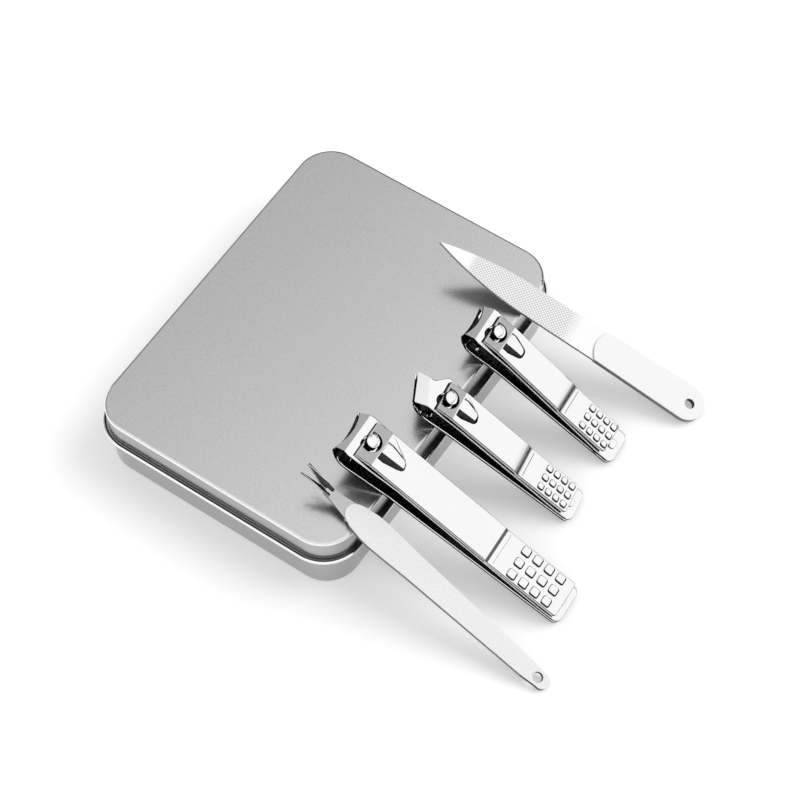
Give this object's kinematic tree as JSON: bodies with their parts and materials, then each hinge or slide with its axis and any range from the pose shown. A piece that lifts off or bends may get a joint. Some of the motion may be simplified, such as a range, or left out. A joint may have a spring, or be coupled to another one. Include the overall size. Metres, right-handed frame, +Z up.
{
  "type": "manicure set case",
  "caption": "Slip-lid tin for a manicure set with an inner foam tray, and the nail clippers, nail file and cuticle fork that lean on its lid.",
  "frame": {"origin": "centre of the tin's bottom face, on the surface it stands on", "axes": "+Z up; +X across the tin's short side, towards the side the tools lean on; +Y along its long side, towards the nail file"},
  "size_m": [0.1514, 0.1182, 0.0405],
  "materials": {
    "tin": "satin tinplate with a fine grain",
    "foam": "matt closed-cell foam",
    "chrome": "polished",
    "rivet": "polished",
    "file_steel": "fine diagonal cuts",
    "file_grip": "plain satin",
    "fork_grip": "grained satin",
    "fork_steel": "ground"
  },
  "bodies": {
    "case": {"case_base": "tin", "tool_tray": "foam"},
    "lid": {"case_lid": "tin"},
    "large_frame": {"large_lower_jaw": "chrome", "large_tail_rivet": "rivet"},
    "large_jaw": {"large_upper_jaw": "chrome"},
    "large_post": {"large_post": "chrome"},
    "large_lever": {"large_lever": "chrome"},
    "slant_frame": {"slant_lower_jaw": "chrome", "slant_tail_rivet": "rivet"},
    "slant_jaw": {"slant_upper_jaw": "chrome"},
    "slant_post": {"slant_post": "chrome"},
    "slant_lever": {"slant_lever": "chrome"},
    "small_frame": {"small_lower_jaw": "chrome", "small_tail_rivet": "rivet"},
    "small_jaw": {"small_upper_jaw": "chrome"},
    "small_post": {"small_post": "chrome"},
    "small_lever": {"small_lever": "chrome"},
    "file": {"file_blade": "file_steel", "file_handle": "file_grip"},
    "fork": {"fork_blade": "fork_steel", "fork_handle": "fork_grip"}
  },
  "joints": [
    {"name": "lid_lift", "type": "slide", "parent": "case", "child": "lid", "axis": [0, 0, 1], "range_m": [0, 0.015]},
    {"name": "large_tilt", "type": "hinge", "parent": "case", "child": "large_frame", "pos_m": [0.0983, -0.025, 0.00005], "axis": [-0.0471, 0.9989, 0], "range_deg": [0, 13.49]},
    {"name": "large_squeeze", "type": "hinge", "parent": "large_frame", "child": "large_jaw", "pos_m": [0.0933, -0.02524, 0.0036], "axis": [0.0471, -0.9989, 0], "range_deg": [0, 1.19], "stiffness_Nm_per_rad": 15},
    {"name": "large_flip", "type": "hinge", "parent": "large_post", "child": "large_lever", "pos_m": [0.03404, -0.02803, 0.03844], "axis": [0.0471, -0.9989, 0], "range_deg": [0, 155]},
    {"name": "large_swivel", "type": "hinge", "parent": "large_frame", "child": "large_post", "pos_m": [0.03499, -0.02799, 0.03728], "axis": [0.4833, 0.0228, 0.8752], "range_deg": [0, 180]},
    {"name": "slant_tilt", "type": "hinge", "parent": "case", "child": "slant_frame", "pos_m": [0.0833, 0.003, 0.00005], "axis": [-0.1392, 0.9903, 0], "range_deg": [0, 19.84]},
    {"name": "slant_squeeze", "type": "hinge", "parent": "slant_frame", "child": "slant_jaw", "pos_m": [0.07882, 0.00237, 0.00419], "axis": [0.1392, -0.9903, 0], "range_deg": [0, 1.58], "stiffness_Nm_per_rad": 15},
    {"name": "slant_flip", "type": "hinge", "parent": "slant_post", "child": "slant_lever", "pos_m": [0.04272, -0.0027, 0.03424], "axis": [0.1392, -0.9903, 0], "range_deg": [0, 155]},
    {"name": "slant_swivel", "type": "hinge", "parent": "slant_frame", "child": "slant_post", "pos_m": [0.04349, -0.0026, 0.03295], "axis": [0.6004, 0.0844, 0.7952], "range_deg": [0, 180]},
    {"name": "small_tilt", "type": "hinge", "parent": "case", "child": "small_frame", "pos_m": [0.0833, 0.0258, 0.00005], "axis": [-0.075, 0.9972, 0], "range_deg": [0, 19.84]},
    {"name": "small_squeeze", "type": "hinge", "parent": "small_frame", "child": "small_jaw", "pos_m": [0.07878, 0.02546, 0.00419], "axis": [0.075, -0.9972, 0], "range_deg": [0, 1.67], "stiffness_Nm_per_rad": 15},
    {"name": "small_flip", "type": "hinge", "parent": "small_post", "child": "small_lever", "pos_m": [0.04216, 0.02271, 0.03495], "axis": [0.075, -0.9972, 0], "range_deg": [0, 155]},
    {"name": "small_swivel", "type": "hinge", "parent": "small_frame", "child": "small_post", "pos_m": [0.04293, 0.02277, 0.03366], "axis": [0.6113, 0.046, 0.7901], "range_deg": [0, 180]},
    {"name": "file_tilt", "type": "hinge", "parent": "case", "child": "file", "pos_m": [0.0972, 0.0503, 0.00005], "axis": [-0.1444, 0.9895, 0], "range_deg": [0, 13.68]},
    {"name": "fork_tilt", "type": "hinge", "parent": "case", "child": "fork", "pos_m": [0.1067, -0.04825, 0.00005], "axis": [0.0663, 0.9978, 0], "range_deg": [0, 12.21]}
  ],
  "couplings": [
    {"joint": "large_tilt", "follows": "lid_lift", "rad_per_m": 15.12},
    {"joint": "large_swivel", "follows": "large_flip", "ratio": 1.1608},
    {"joint": "slant_tilt", "follows": "lid_lift", "rad_per_m": 22.5},
    {"joint": "slant_swivel", "follows": "slant_flip", "ratio": 1.1608},
    {"joint": "small_tilt", "follows": "lid_lift", "rad_per_m": 22.5},
    {"joint": "small_swivel", "follows": "small_flip", "ratio": 1.1608},
    {"joint": "file_tilt", "follows": "lid_lift", "rad_per_m": 15.34},
    {"joint": "fork_tilt", "follows": "lid_lift", "rad_per_m": 13.63}
  ]
}
